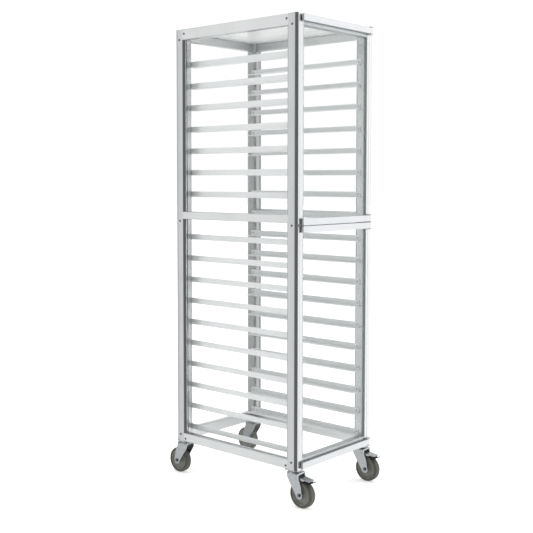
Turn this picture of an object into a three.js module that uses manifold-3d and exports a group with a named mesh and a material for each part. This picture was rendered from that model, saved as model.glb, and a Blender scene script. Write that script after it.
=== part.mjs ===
// Sheet pan rack: an aluminium frame on four swivel castors, with pan slides on both
// side walls, clear side, rear and roof sheets, and an upper and a lower clear door.
// Millimetres. X runs across the front, the doors face -Y, +Z is up, and the origin is
// on the floor under the middle of the rack.
import * as THREE from 'three';
import Module from 'manifold-3d';
import { mergeVertices } from 'three/addons/utils/BufferGeometryUtils.js';

const wasm = await Module();
wasm.setup();

// ---- driving dimensions -----------------------------------------------------------
const HALF_W = 235;            // half of the frame's width
const HALF_D = 312.5;          // half of the frame's depth
const TOP = 1790;              // overall height
const FRAME_BOTTOM = 139;      // underside of the frame, which is the castor height

const POST = { x: 46, y: 50, r: 12, wall: 2.5, cap: 3 };
const GROOVE = { width: 4, depth: 6 };     // glazing groove for the clear sheets
const SIDE_SHEET_X = 220;                  // mid-plane of the side sheets
const SHEET = 3;                           // thickness of the fixed clear sheets
const SHEET_REACH = 5.5;                   // how far a sheet's edge enters its groove
const JOINT_GAP = 0.2;                     // gap where a rail meets a post
const COPE = 11;                           // how far a rail's end laps a post's rounded edge

const SIDE_TOP_RAIL = 42;                  // rail heights
const SIDE_BOTTOM_RAIL = 34;
const SIDE_RAIL_X = 30;                    // width of the top and bottom side rails
const MID_RAIL = { z0: 1040, z1: 1070, x: 26 };
const CROSS_RAIL = { top: 42, bottom: 40, y: 30 };
const RAIL_R = 3;
const ROOF_Z = 1778;                       // mid-plane of the roof sheet

const LEVELS = 18;                         // pan levels
const FIRST_LEVEL = 182;                   // underside of the lowest slide
const LEVEL_PITCH = 86;
const SLIDE = { up: 22, in: 37, t: 2, front: 288, rear: 281, sink: 0.4 };

const DOOR = { t: 10, rail: 24, left: -211, paneRight: 198, z0: 142.5, z1: 1786.4 };
const SEAM = { z: 1032, half: 1.8 };       // where the two door leaves meet
const PANE = { t: 4, slot: 4.6, reach: 5.5 };
const HINGE = { x: 212, half: 10, plate: 2, gap: 0.6, ear: 3, play: 0.3, pinR: 3, clear: 0.1 };
const CATCH = { from: -Math.PI * 0.75, t: 2, gap: 0.1, right: -213, half: 6 };

const CASTOR = { x: 207, y: 285, trail: 36, plate: 56, plateT: 4, cupR: 26, kingR: 6 };
const WHEEL = { r: 50, tread: 15, rim: 40, hub: 17, axleR: 5, clear: 0.08 };
const FORK = { in: 19, out: 22, top: 128.6, crown: 120 };
const PEDAL = { v: 20, z: 110.5, r: 3, half: 17 };

// ---- helpers ----------------------------------------------------------------------
function solid(geometry) {
  const g = geometry.clone();
  g.deleteAttribute('normal');
  g.deleteAttribute('uv');
  const m = mergeVertices(g, 1e-4);
  return new wasm.Manifold(new wasm.Mesh({
    numProp: 3,
    vertProperties: new Float32Array(m.attributes.position.array),
    triVerts: new Uint32Array(m.index.array),
  }));
}

function geometryOf(manifold) {
  const mesh = manifold.getMesh();
  const g = new THREE.BufferGeometry();
  g.setAttribute('position', new THREE.BufferAttribute(new Float32Array(mesh.vertProperties), 3));
  g.setIndex(new THREE.BufferAttribute(new Uint32Array(mesh.triVerts), 1));
  const flat = g.toNonIndexed();
  flat.computeVertexNormals();
  return flat;
}

function box(x0, x1, y0, y1, z0, z1) {
  const g = new THREE.BoxGeometry(x1 - x0, y1 - y0, z1 - z0);
  g.translate((x0 + x1) / 2, (y0 + y1) / 2, (z0 + z1) / 2);
  return solid(g);
}

function roundedPath(a0, a1, b0, b1, r) {
  const s = new THREE.Shape();
  s.moveTo(a0 + r, b0);
  s.lineTo(a1 - r, b0);
  s.absarc(a1 - r, b0 + r, r, -Math.PI / 2, 0, false);
  s.lineTo(a1, b1 - r);
  s.absarc(a1 - r, b1 - r, r, 0, Math.PI / 2, false);
  s.lineTo(a0 + r, b1);
  s.absarc(a0 + r, b1 - r, r, Math.PI / 2, Math.PI, false);
  s.lineTo(a0, b0 + r);
  s.absarc(a0 + r, b0 + r, r, Math.PI, Math.PI * 1.5, false);
  return s;
}

// Extrudes a shape drawn in the plane across an axis, from one place on it to another.
// 'z' draws in X and Y, 'y' in X and Z, and 'x' in Y and Z.
function extrude(shape, axis, from, to, segments = 6) {
  const g = new THREE.ExtrudeGeometry(shape, {
    depth: to - from, bevelEnabled: false, curveSegments: segments,
  });
  if (axis === 'z') {
    g.translate(0, 0, from);
  } else if (axis === 'y') {
    g.rotateX(Math.PI / 2);
    g.translate(0, to, 0);
  } else {
    g.applyMatrix4(new THREE.Matrix4().makeBasis(
      new THREE.Vector3(0, 1, 0), new THREE.Vector3(0, 0, 1), new THREE.Vector3(1, 0, 0)));
    g.translate(from, 0, 0);
  }
  return solid(g);
}

function polygon(points) {
  return new THREE.Shape(points.map(([a, b]) => new THREE.Vector2(a, b)));
}

// A tube: a rounded outline with a rounded hole, given as [a0, a1, b0, b1, radius].
function tube(outline, hole, axis, from, to, segments) {
  const shape = roundedPath(...outline);
  shape.holes.push(roundedPath(...hole));
  return extrude(shape, axis, from, to, segments);
}

function cylinder(axis, r, at, from, to, segments = 24) {
  const g = new THREE.CylinderGeometry(r, r, to - from, segments);
  const mid = (from + to) / 2;
  if (axis === 'z') {
    g.rotateX(Math.PI / 2);
    g.translate(at[0], at[1], mid);
  } else {
    g.rotateZ(Math.PI / 2);
    g.translate(mid, at[0], at[1]);
  }
  return solid(g);
}

// A turned solid about an axis along X through (y, z), from [radius, x] points.
function turned(points, y, z, segments = 24) {
  const g = new THREE.LatheGeometry(points.map(([r, a]) => new THREE.Vector2(r, a)), segments);
  g.rotateZ(-Math.PI / 2);
  g.translate(0, y, z);
  return solid(g);
}

// The same solid on the other side of the X = 0 or Y = 0 plane, with its faces turned
// back outward where one mirroring has turned them in.
function mirrored(body, sx, sy) {
  const g = geometryOf(body);
  g.scale(sx, sy, 1);
  if (sx * sy < 0) {
    const p = g.attributes.position;
    const a = new THREE.Vector3();
    const b = new THREE.Vector3();
    for (let i = 0; i < p.count; i += 3) {
      a.fromBufferAttribute(p, i + 1);
      b.fromBufferAttribute(p, i + 2);
      p.setXYZ(i + 1, b.x, b.y, b.z);
      p.setXYZ(i + 2, a.x, a.y, a.z);
    }
  }
  return solid(g);
}

const root = new THREE.Group();
root.name = 'sheet_pan_rack';

const FINISH = {
  aluminium: { color: 0xc9cccf, metalness: 0.9, roughness: 0.38 },
  door_aluminium: { color: 0xd8dadc, metalness: 0.9, roughness: 0.34 },
  clear_sheet: { color: 0xe8f2f0, metalness: 0, roughness: 0.08, transparent: true, opacity: 0.22 },
  roof_sheet: { color: 0xe6ebea, metalness: 0, roughness: 0.3, transparent: true, opacity: 0.55 },
  zinc: { color: 0xb9bcbe, metalness: 0.95, roughness: 0.28 },
  wheel_core: { color: 0xa5a7a8, metalness: 0, roughness: 0.5 },
  tyre_rubber: { color: 0x5e6163, metalness: 0, roughness: 0.7 },
  black_tip: { color: 0x151617, metalness: 0, roughness: 0.55 },
};

function piece(name, slot, manifold, parent = root) {
  const material = new THREE.MeshStandardMaterial(FINISH[slot]);
  material.name = slot;
  const mesh = new THREE.Mesh(geometryOf(manifold), material);
  mesh.name = name;
  parent.add(mesh);
}

// ---- side ladders: two posts and the slides welded to their inner faces -------------
function post(sx, sy) {
  const x0 = HALF_W - POST.x;
  const y0 = HALF_D - POST.y;
  const grooveWall = GROOVE.depth + POST.wall;
  const inner = sy > 0 ? grooveWall : POST.wall;
  let body = extrude(roundedPath(x0, HALF_W, y0, HALF_D, POST.r), 'z', FRAME_BOTTOM, TOP, 5)
    .subtract(extrude(
      roundedPath(x0 + inner, HALF_W - POST.wall, y0 + grooveWall, HALF_D - POST.wall, 9),
      'z', FRAME_BOTTOM - 1, TOP - POST.cap, 3));
  body = body.subtract(box(SIDE_SHEET_X - GROOVE.width / 2, SIDE_SHEET_X + GROOVE.width / 2,
    y0 - 1, y0 + GROOVE.depth, FRAME_BOTTOM - 1, TOP + 1));
  if (sy > 0) {
    const yr = HALF_D - POST.y / 2;
    body = body.subtract(box(x0 - 1, x0 + GROOVE.depth,
      yr - GROOVE.width / 2, yr + GROOVE.width / 2, FRAME_BOTTOM - 1, TOP + 1));
  }
  return mirrored(body, sx, sy);
}

function slide(sx, level) {
  const wall = HALF_W - POST.x + SLIDE.sink;
  const z = FIRST_LEVEL + level * LEVEL_PITCH;
  const shape = polygon([
    [wall, z], [wall, z + SLIDE.up], [wall - SLIDE.t, z + SLIDE.up],
    [wall - SLIDE.t, z + SLIDE.t], [wall - SLIDE.in, z + SLIDE.t], [wall - SLIDE.in, z],
  ]);
  const bar = extrude(shape, 'y', -SLIDE.front, SLIDE.rear);
  return mirrored(bar, sx, 1);
}

for (const [name, sx] of [['left', -1], ['right', 1]]) {
  let ladder = post(sx, -1).add(post(sx, 1));
  for (let k = 0; k < LEVELS; k += 1) ladder = ladder.add(slide(sx, k));
  piece(`${name}_ladder`, 'aluminium', ladder);
}

// ---- frame rails ---------------------------------------------------------------------
const sideEnd = HALF_D - POST.y - JOINT_GAP;
const crossEnd = HALF_W - POST.x - JOINT_GAP;
const postInner = HALF_W - POST.x;
const grooveHalf = GROOVE.width / 2;
const railInner = HALF_W - SIDE_RAIL_X;
const crossInner = HALF_D - CROSS_RAIL.y;
const rearSheetY = HALF_D - POST.y / 2;

// Takes the shape of the four posts, grown by the joint gap, out of a rail that runs past them.
function coped(rail) {
  const g = JOINT_GAP;
  let out = rail;
  for (const [sx, sy] of [[-1, -1], [1, -1], [-1, 1], [1, 1]]) {
    const outline = roundedPath(HALF_W - POST.x - g, HALF_W + g, HALF_D - POST.y - g, HALF_D + g, POST.r + g);
    out = out.subtract(mirrored(extrude(outline, 'z', FRAME_BOTTOM - 1, TOP + 1, 5), sx, sy));
  }
  return out;
}

function sideRail(x0, z0, z1, hole, cuts) {
  const end = sideEnd + COPE;
  let rail = tube([x0, HALF_W, z0, z1, RAIL_R], hole, 'y', -end, end, 3);
  for (const c of cuts) rail = rail.subtract(box(c[0], c[1], -end - 1, end + 1, c[2], c[3]));
  const keep = box(HALF_W - POST.r / 2, HALF_W + 1, -end - 1, end + 1, z0 - 1, z1 + 1)
    .add(box(x0 - 1, HALF_W + 1, -sideEnd, sideEnd, z0 - 1, z1 + 1));
  return coped(rail.intersect(keep));
}

const topZ0 = TOP - SIDE_TOP_RAIL;
const bottomZ1 = FRAME_BOTTOM + SIDE_BOTTOM_RAIL;
const groovedX = [SIDE_SHEET_X - grooveHalf, SIDE_SHEET_X + grooveHalf];
const behind = GROOVE.depth + POST.wall;
for (const [name, sx] of [['left', -1], ['right', 1]]) {
  const top = sideRail(railInner, topZ0, TOP,
    [railInner + behind, HALF_W - 2.5, topZ0 + behind, TOP - 2.5, 1],
    [[...groovedX, topZ0 - 1, topZ0 + GROOVE.depth],
      [railInner - 1, railInner + GROOVE.depth, ROOF_Z - grooveHalf, ROOF_Z + grooveHalf]]);
  const bottom = sideRail(railInner, FRAME_BOTTOM, bottomZ1,
    [railInner + 2.5, HALF_W - 2.5, FRAME_BOTTOM + 2.5, bottomZ1 - behind, 1],
    [[...groovedX, bottomZ1 - GROOVE.depth, bottomZ1 + 1]]);
  const mid = sideRail(HALF_W - MID_RAIL.x, MID_RAIL.z0, MID_RAIL.z1,
    [HALF_W - MID_RAIL.x + 2.5, HALF_W - 2.5, MID_RAIL.z0 + behind, MID_RAIL.z1 - behind, 1],
    [[...groovedX, MID_RAIL.z0 - 1, MID_RAIL.z0 + GROOVE.depth],
      [...groovedX, MID_RAIL.z1 - GROOVE.depth, MID_RAIL.z1 + 1]]);
  piece(`${name}_top_rail`, 'aluminium', mirrored(top, sx, 1));
  piece(`${name}_bottom_rail`, 'aluminium', mirrored(bottom, sx, 1));
  piece(`${name}_mid_rail`, 'aluminium', mirrored(mid, sx, 1));
}

function crossRail(z0, z1, cuts) {
  const end = crossEnd + COPE;
  let rail = tube([crossInner, HALF_D, z0, z1, RAIL_R],
    [crossInner + behind, HALF_D - 2.5, z0 + 2.5, z1 - 2.5, 1], 'x', -end, end, 3);
  for (const c of cuts) rail = rail.subtract(box(-end - 1, end + 1, c[0], c[1], c[2], c[3]));
  const keep = box(-end - 1, end + 1, HALF_D - POST.r / 2, HALF_D + 1, z0 - 1, z1 + 1)
    .add(box(-crossEnd, crossEnd, crossInner - 1, HALF_D + 1, z0 - 1, z1 + 1));
  return coped(rail.intersect(keep));
}

const crossTopZ0 = TOP - CROSS_RAIL.top;
const crossBottomZ1 = FRAME_BOTTOM + CROSS_RAIL.bottom;
const roofCut = [crossInner - 1, crossInner + GROOVE.depth, ROOF_Z - grooveHalf, ROOF_Z + grooveHalf];
const rearCutY = [rearSheetY - grooveHalf, rearSheetY + grooveHalf];
piece('front_top_rail', 'aluminium', mirrored(crossRail(crossTopZ0, TOP, [roofCut]), 1, -1));
piece('rear_top_rail', 'aluminium',
  crossRail(crossTopZ0, TOP, [roofCut, [...rearCutY, crossTopZ0 - 1, crossTopZ0 + GROOVE.depth]]));
piece('front_bottom_rail', 'aluminium', mirrored(crossRail(FRAME_BOTTOM, crossBottomZ1, []), 1, -1));
piece('rear_bottom_rail', 'aluminium',
  crossRail(FRAME_BOTTOM, crossBottomZ1, [[...rearCutY, crossBottomZ1 - GROOVE.depth, crossBottomZ1 + 1]]));

// ---- clear sheets ------------------------------------------------------------------
const sheetY = HALF_D - POST.y + SHEET_REACH;
for (const [name, sx] of [['left', -1], ['right', 1]]) {
  const x0 = SIDE_SHEET_X - SHEET / 2;
  const x1 = SIDE_SHEET_X + SHEET / 2;
  const upper = box(x0, x1, -sheetY, sheetY, MID_RAIL.z1 - SHEET_REACH, topZ0 + SHEET_REACH);
  const lower = box(x0, x1, -sheetY, sheetY, bottomZ1 - SHEET_REACH, MID_RAIL.z0 + SHEET_REACH);
  piece(`${name}_upper_sheet`, 'clear_sheet', mirrored(upper, sx, 1));
  piece(`${name}_lower_sheet`, 'clear_sheet', mirrored(lower, sx, 1));
}
const rearX = postInner + SHEET_REACH;
piece('rear_sheet', 'clear_sheet', box(-rearX, rearX, rearSheetY - SHEET / 2, rearSheetY + SHEET / 2,
  crossBottomZ1 - SHEET_REACH, crossTopZ0 + SHEET_REACH));
const roofY = crossInner + SHEET_REACH;
const roofX = railInner + SHEET_REACH;
const notchX = postInner - 0.4;
const notchY = HALF_D - POST.y - 0.4;
piece('roof_sheet', 'roof_sheet', extrude(polygon([
  [-notchX, -roofY], [notchX, -roofY], [notchX, -notchY], [roofX, -notchY], [roofX, notchY],
  [notchX, notchY], [notchX, roofY], [-notchX, roofY], [-notchX, notchY], [-roofX, notchY],
  [-roofX, -notchY], [-notchX, -notchY],
]), 'z', ROOF_Z - SHEET / 2, ROOF_Z + SHEET / 2));

// ---- doors -------------------------------------------------------------------------
// Each leaf is a clear pane between a top and a bottom rail. It lies over the front of the
// posts, and turns about a line of hinge pins near its right edge.
const hingeY = -(HALF_D + HINGE.plate + HINGE.gap + DOOR.t / 2);
const doorY = [hingeY - DOOR.t / 2, hingeY + DOOR.t / 2];
const slotY = [hingeY - PANE.slot / 2, hingeY + PANE.slot / 2];
const slotDepth = PANE.reach + 0.5;
const hingeBore = (z0, z1) => cylinder('z', HINGE.pinR + HINGE.clear, [HINGE.x, hingeY], z0, z1);

function doorRail(z0, z1, slotZ) {
  return extrude(roundedPath(...doorY, z0, z1, 1.5), 'x', DOOR.left, HINGE.x, 3)
    .add(cylinder('z', DOOR.t / 2, [HINGE.x, hingeY], z0, z1))
    .subtract(box(DOOR.left - 1, DOOR.paneRight + 0.5, ...slotY, ...slotZ))
    .subtract(hingeBore(z0 - 1, z1 + 1));
}

function doorLeaf(name, z0, z1) {
  const low = z0 + DOOR.rail;
  const high = z1 - DOOR.rail;
  piece(`${name}_door_bottom_rail`, 'door_aluminium', doorRail(z0, low, [low - slotDepth, low + 1]));
  piece(`${name}_door_top_rail`, 'door_aluminium', doorRail(high, z1, [high - 1, high + slotDepth]));
  piece(`${name}_door_pane`, 'clear_sheet', box(DOOR.left + 1, DOOR.paneRight,
    hingeY - PANE.t / 2, hingeY + PANE.t / 2, low - PANE.reach, high + PANE.reach));
}
doorLeaf('upper', SEAM.z + SEAM.half, DOOR.z1);
doorLeaf('lower', DOOR.z0, SEAM.z - SEAM.half);

// A back plate on the right post, with an ear below and above each door rail's end.
function hinge(name, earsLow) {
  const [x0, x1] = [HINGE.x - HINGE.half, HINGE.x + HINGE.half];
  const z0 = earsLow[0];
  const z1 = earsLow[earsLow.length - 1] + HINGE.ear;
  const outline = roundedPath(x0, x1, doorY[0] - 1, -HALF_D, 0.8);
  let bracket = box(x0, x1, -HALF_D - HINGE.plate, -HALF_D, z0, z1);
  for (const z of earsLow) bracket = bracket.add(extrude(outline, 'z', z, z + HINGE.ear, 3));
  piece(`${name}_hinge_bracket`, 'zinc', bracket.subtract(hingeBore(z0 - 1, z1 + 1)));
  piece(`${name}_hinge_pin`, 'zinc', cylinder('z', HINGE.pinR, [HINGE.x, hingeY], z0, z1));
}
const under = (z) => z - HINGE.play - HINGE.ear;
const over = (z) => z + HINGE.play;
hinge('top', [under(DOOR.z1 - DOOR.rail), over(DOOR.z1)]);
hinge('mid', [under(SEAM.z - SEAM.half - DOOR.rail), SEAM.z - HINGE.ear / 2, over(SEAM.z + SEAM.half + DOOR.rail)]);
hinge('bottom', [under(DOOR.z0), over(DOOR.z0 + DOOR.rail)]);

// The thin plate that comes round the front left post's corner to the seam of the doors.
const corner = [-HALF_W + POST.r, -HALF_D + POST.r];
const around = (r, angle) => [corner[0] + r * Math.cos(angle), corner[1] + r * Math.sin(angle)];
const turnAngles = [0, 0.2, 0.4, 0.6, 0.8, 1].map((f) => CATCH.from + f * (-Math.PI / 2 - CATCH.from));
const innerR = POST.r + CATCH.gap;
const outerR = innerR + CATCH.t;
piece('seam_catch', 'black_tip', extrude(polygon([
  ...turnAngles.map((a) => around(outerR, a)), [CATCH.right, corner[1] - outerR],
  [CATCH.right, corner[1] - innerR], ...turnAngles.reverse().map((a) => around(innerR, a)),
]), 'z', SEAM.z - CATCH.half, SEAM.z + CATCH.half));

// ---- castors ------------------------------------------------------------------------
// Each is drawn about its own swivel axis with v pointing the way the wheel trails.
const wheelV = CASTOR.trail;

function castorPlate() {
  const half = CASTOR.plate / 2;
  const plate = extrude(roundedPath(-half, half, -half, half, 6), 'z',
    FRAME_BOTTOM - CASTOR.plateT, FRAME_BOTTOM, 4);
  const cup = cylinder('z', CASTOR.cupR, [0, 0], FORK.top + 0.4, FRAME_BOTTOM - CASTOR.plateT + 0.5);
  const pin = cylinder('z', CASTOR.kingR, [0, 0], FORK.crown - 4, FORK.top + 1);
  const head = cylinder('z', 10, [0, 0], FORK.crown - 6.4, FORK.crown - 0.4);
  return plate.add(cup).add(pin).add(head);
}

function castorFork(braked) {
  const leg = polygon([[-20, FORK.top], [-20, 112], [18, 46], [26, 40], [36, 37], [45, 40],
    [50, 50], [46, 70], [34, 112], [32, FORK.top]]);
  let fork = extrude(leg, 'x', FORK.in, FORK.out).add(extrude(leg, 'x', -FORK.out, -FORK.in));
  fork = fork.add(box(-FORK.out, FORK.out, -20, 32, FORK.top - 4, FORK.top));
  fork = fork.add(cylinder('z', 24, [0, 0], FORK.crown, FORK.top));
  fork = fork.subtract(cylinder('z', CASTOR.kingR + 0.08, [0, 0], FORK.crown - 1, FORK.top + 1));
  fork = fork.subtract(cylinder('x', WHEEL.axleR + 0.1, [wheelV, WHEEL.r], -30, 30));
  if (braked) {
    fork = fork.subtract(cylinder('x', PEDAL.r + 0.08, [PEDAL.v, PEDAL.z], -30, 30));
  }
  return fork;
}

function castorAxle() {
  const hex = (a, b) => cylinder('x', 8, [wheelV, WHEEL.r], a, b, 6);
  return cylinder('x', WHEEL.axleR, [wheelV, WHEEL.r], -27, 27)
    .add(hex(-28, -FORK.out - 0.2)).add(hex(FORK.out + 0.2, 28));
}

function castorHub() {
  const bore = WHEEL.axleR + WHEEL.clear;
  return turned([[bore, -WHEEL.hub], [11, -WHEEL.hub], [12.5, -6], [34, -5], [36, -13],
    [WHEEL.rim - 0.1, -13], [WHEEL.rim - 0.1, 13], [36, 13], [34, 5], [12.5, 6],
    [11, WHEEL.hub], [bore, WHEEL.hub], [bore, -WHEEL.hub]], wheelV, WHEEL.r);
}

function castorTyre() {
  const w = WHEEL.tread;
  return turned([[WHEEL.rim, -w], [45, -w], [48.5, -w + 2], [WHEEL.r, -w + 6], [WHEEL.r, w - 6],
    [48.5, w - 2], [45, w], [WHEEL.rim, w], [WHEEL.rim, -w]], wheelV, WHEEL.r);
}

function brakePedal() {
  const plate = polygon([[14, 107], [30, 106], [40, 105.4], [44, 102.6], [49, 102.6], [52, 104.6],
    [78, 99.6], [79, 102.4], [52, 109], [26, 114.6], [14, 114.6]]);
  return extrude(plate, 'x', -PEDAL.half, PEDAL.half)
    .add(cylinder('x', PEDAL.r, [PEDAL.v, PEDAL.z], -FORK.out - 0.8, FORK.out + 0.8));
}

function brakeTip() {
  const outer = polygon([[66, 97.8], [85, 94], [86, 96], [86, 103], [66, 109]]);
  const grown = polygon([[60, 102.9], [79.4, 99.2], [79.4, 102.7], [60, 107.4]]);
  return extrude(outer, 'x', -20, 20).subtract(extrude(grown, 'x', -PEDAL.half - 0.2, PEDAL.half + 0.2));
}

for (const [name, sx, sy] of [
  ['front_left', -1, -1], ['front_right', 1, -1], ['rear_left', -1, 1], ['rear_right', 1, 1]]) {
  const braked = sy < 0;
  const castor = new THREE.Group();
  castor.position.set(sx * CASTOR.x, sy * CASTOR.y, 0);
  castor.rotation.z = braked ? Math.PI : 0;
  root.add(castor);
  piece(`${name}_castor_plate`, 'zinc', castorPlate(), castor);
  piece(`${name}_castor_fork`, 'zinc', castorFork(braked), castor);
  piece(`${name}_castor_axle`, 'zinc', castorAxle(), castor);
  piece(`${name}_castor_hub`, 'wheel_core', castorHub(), castor);
  piece(`${name}_castor_tyre`, 'tyre_rubber', castorTyre(), castor);
  if (braked) {
    piece(`${name}_brake_pedal`, 'zinc', brakePedal(), castor);
    piece(`${name}_brake_tip`, 'black_tip', brakeTip(), castor);
  }
}

export default root;
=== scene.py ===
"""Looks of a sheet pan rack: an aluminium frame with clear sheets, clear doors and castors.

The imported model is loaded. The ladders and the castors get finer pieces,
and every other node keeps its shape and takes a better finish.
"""

import logging
import math
from collections.abc import Callable, Sequence
from dataclasses import dataclass, field
from enum import Enum

import bmesh
import bpy
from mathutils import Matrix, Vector

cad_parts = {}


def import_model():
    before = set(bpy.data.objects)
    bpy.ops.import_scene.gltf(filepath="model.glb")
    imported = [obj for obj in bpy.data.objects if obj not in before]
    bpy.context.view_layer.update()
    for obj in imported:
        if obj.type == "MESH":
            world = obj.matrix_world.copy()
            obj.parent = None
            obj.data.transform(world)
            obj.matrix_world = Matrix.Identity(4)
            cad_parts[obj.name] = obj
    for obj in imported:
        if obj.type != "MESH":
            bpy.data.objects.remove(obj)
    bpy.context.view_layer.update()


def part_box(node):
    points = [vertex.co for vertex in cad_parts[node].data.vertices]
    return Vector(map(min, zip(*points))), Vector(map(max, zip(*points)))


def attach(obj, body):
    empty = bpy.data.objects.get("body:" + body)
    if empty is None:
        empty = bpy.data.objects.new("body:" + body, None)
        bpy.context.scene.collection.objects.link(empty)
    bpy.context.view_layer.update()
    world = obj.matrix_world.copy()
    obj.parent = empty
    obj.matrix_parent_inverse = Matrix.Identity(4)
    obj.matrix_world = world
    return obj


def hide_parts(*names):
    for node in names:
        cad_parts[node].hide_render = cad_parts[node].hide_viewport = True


LOG = logging.getLogger("sheet_pan_rack")
MM = 0.001
Point2 = tuple[float, float]
Point3 = tuple[float, float, float]
Colour = tuple[float, float, float, float]
Material, Piece, NodeTree, Node = bpy.types.Material, bpy.types.Object, bpy.types.NodeTree, bpy.types.Node
BMesh = bmesh.types.BMesh
Fill = Callable[[BMesh], None]


# ---------------------------------------------------------------- small helpers


def linear(hex_code: str, share: Point3 = (1.0, 1.0, 1.0)) -> Colour:
    """Turns an sRGB hex colour into the linear colour that shaders use.

    Args:
        hex_code: a # and six hex digits.
        share: what each linear channel is multiplied by.

    Returns:
        The linear red, green and blue, with an alpha of one.
    """
    values = [int(hex_code[i : i + 2], 16) / 255 for i in (1, 3, 5)]
    channels = [v / 12.92 if v <= 0.04045 else ((v + 0.055) / 1.055) ** 2.4 for v in values]
    red, green, blue = (c * k for c, k in zip(channels, share))
    return (red, green, blue, 1.0)


def plug(target: Node, links: dict[str | int, object]) -> None:
    """Fills a node's inputs.

    Args:
        target: the node.
        links: input names or numbers to a socket to link from or a value to set.
    """
    for key, value in links.items():
        socket = target.inputs[key]
        if isinstance(value, bpy.types.NodeSocket):
            target.id_data.links.new(value, socket)
        else:
            socket.default_value = value


def node(
    tree: NodeTree,
    kind: str,
    settings: dict[str, object] | None = None,
    links: dict[str | int, object] | None = None,
) -> Node:
    """Adds a node, sets its properties and sockets, and links its inputs.

    Args:
        tree: the tree that the node goes into.
        kind: the node's bl_idname.
        settings: property names to values.
        links: input names or numbers to a socket to link from or a value to set.

    Returns:
        The new node.
    """
    made = tree.nodes.new(kind)
    for name, value in (settings or {}).items():
        setattr(made, name, value)
    plug(made, links or {})
    return made


def new_material(name: str) -> tuple[Material, Node, Node]:
    """Starts a material.

    Args:
        name: the material's name.

    Returns:
        The material, its shader and the node that gives a piece's own coordinates.
    """
    mat = bpy.data.materials.new(name)
    mat.use_nodes = True
    tree = mat.node_tree
    return mat, tree.nodes["Principled BSDF"], node(tree, "ShaderNodeTexCoord")


def set_tones(ramp: bpy.types.ColorRamp, dark: tuple[float, Colour], light: tuple[float, Colour]) -> None:
    """Gives a colour ramp its dark and its light stop, each a place on the ramp and a colour."""
    for stop, (place, colour) in zip(ramp.elements, (dark, light)):
        stop.position, stop.color = place, colour


class Axis(Enum):
    """The axis that a shape or a pattern runs along."""

    X = 0
    Y = 1
    Z = 2


class Side(Enum):
    """The side walls, with the sign of their X."""

    LEFT = -1
    RIGHT = 1


class Corner(Enum):
    """The four corners, with the signs of their X and Y."""

    FRONT_LEFT = (-1, -1)
    FRONT_RIGHT = (1, -1)
    REAR_LEFT = (-1, 1)
    REAR_RIGHT = (1, 1)


# ---------------------------------------------------------------- finishes


@dataclass(frozen=True)
class ExtrudedAluminium:
    """Satin anodised aluminium extrusion: soft sheen with fine lines along its length.

    Real die lines are a few tenths of a millimetre apart, too fine to show, so they are drawn
    coarser. The sheen also varies softly over about a hand's width.
    """

    name: str
    colour: str
    roughness: float = 0.30
    along: Axis = Axis.Z
    metal: float = 1.0
    line_spacing_mm: float = 2.4
    line_stretch: float = 300
    cloud_mm: float = 111.11
    dark_share: Point3 = (0.93, 0.93, 0.935)

    def material(self) -> Material:
        """Builds the material.

        Returns:
            A material whose extrusion lines run along the axis named in along.
        """
        mat, shader, place = new_material(self.name)
        tree = mat.node_tree
        fine = 1 / (self.line_spacing_mm * MM)
        slow = fine / self.line_stretch
        scale = {
            Axis.X: (slow, fine, fine),
            Axis.Y: (fine, slow, fine),
            Axis.Z: (fine, fine, slow),
        }[self.along]
        stretch = node(tree, "ShaderNodeMapping", {}, {"Vector": place.outputs["Object"], "Scale": scale})
        lines = node(
            tree, "ShaderNodeTexNoise", {}, {"Vector": stretch.outputs[0], "Scale": 1.0, "Detail": 3.0}
        )
        cloud = node(
            tree,
            "ShaderNodeTexNoise",
            {},
            {"Vector": place.outputs["Object"], "Scale": 1 / (self.cloud_mm * MM), "Detail": 2.0},
        )
        tone = node(tree, "ShaderNodeValToRGB", {}, {"Fac": lines.outputs[0]})
        set_tones(tone.color_ramp, (0.3, linear(self.colour, self.dark_share)), (0.7, linear(self.colour)))
        rough = node(
            tree,
            "ShaderNodeMapRange",
            {},
            {
                "Value": cloud.outputs[0],
                "From Min": 0.3,
                "From Max": 0.7,
                "To Min": self.roughness - 0.03,
                "To Max": self.roughness + 0.05,
            },
        )
        bump = node(
            tree, "ShaderNodeBump", {}, {"Height": lines.outputs[0], "Strength": 0.05, "Distance": 0.05 * MM}
        )
        plug(shader, {"Metallic": self.metal, "Base Color": tone.outputs[0]})
        plug(shader, {"Roughness": rough.outputs[0], "Normal": bump.outputs[0]})
        return mat


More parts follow.
